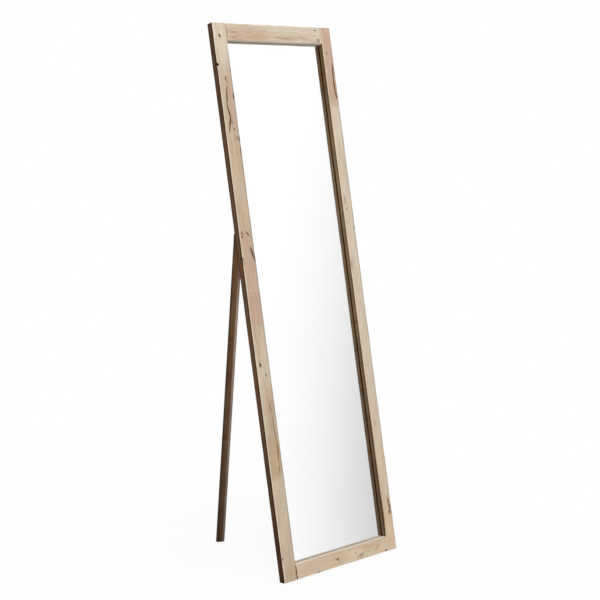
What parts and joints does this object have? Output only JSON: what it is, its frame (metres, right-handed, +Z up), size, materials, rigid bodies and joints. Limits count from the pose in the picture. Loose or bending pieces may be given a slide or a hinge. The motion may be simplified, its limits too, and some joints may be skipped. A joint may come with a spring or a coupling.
{
  "type": "leaning floor mirror",
  "caption": "Full-length mirror in a plain reclaimed-wood board frame, leaning back on a hinged rear leg support that folds flat against its back.",
  "frame": {"origin": "middle of the footprint on the floor", "axes": "+Z up, -Y the way the mirror faces, +X to the right of someone looking into the mirror"},
  "size_m": [0.45, 0.4122, 1.6659],
  "materials": {
    "reclaimed_wood": "sanded reclaimed softwood, matt, with knots, cracks and a pale patina",
    "leg_wood": "the same wood with a dark brown weathered face",
    "dowel_wood": "plain beech dowel",
    "silvered_glass": "silvered float glass",
    "hardboard": "brown pressed hardboard",
    "bronzed_plate": "pressed steel with a dull bronzed finish",
    "fastener_steel": "steel with a dull bronzed finish",
    "nylon": "natural nylon"
  },
  "bodies": {
    "mirror_frame": {"left_stile": "reclaimed_wood", "right_stile": "reclaimed_wood", "top_rail": "reclaimed_wood", "bottom_rail": "reclaimed_wood", "corner_dowels": "dowel_wood", "mirror_glass": "silvered_glass", "backing_board": "hardboard", "retainer_clips": "bronzed_plate", "left_pivot_bracket": "bronzed_plate", "right_pivot_bracket": "bronzed_plate", "clip_screws": "fastener_steel", "bracket_screws": "fastener_steel", "left_pivot_bolt": "fastener_steel", "right_pivot_bolt": "fastener_steel", "left_lock_nut": "fastener_steel", "right_lock_nut": "fastener_steel", "pivot_washers": "nylon"},
    "leg_support": {"left_leg": "leg_wood", "right_leg": "leg_wood", "leg_crossbar": "leg_wood", "crossbar_dowels": "dowel_wood", "left_pivot_bush": "nylon", "right_pivot_bush": "nylon"}
  },
  "joints": [
    {"name": "leg_fold", "type": "hinge", "parent": "mirror_frame", "child": "leg_support", "pos_m": [0, 0.06412, 1.00895], "axis": [1, 0, 0], "range_deg": [-19.4, 0]}
  ]
}
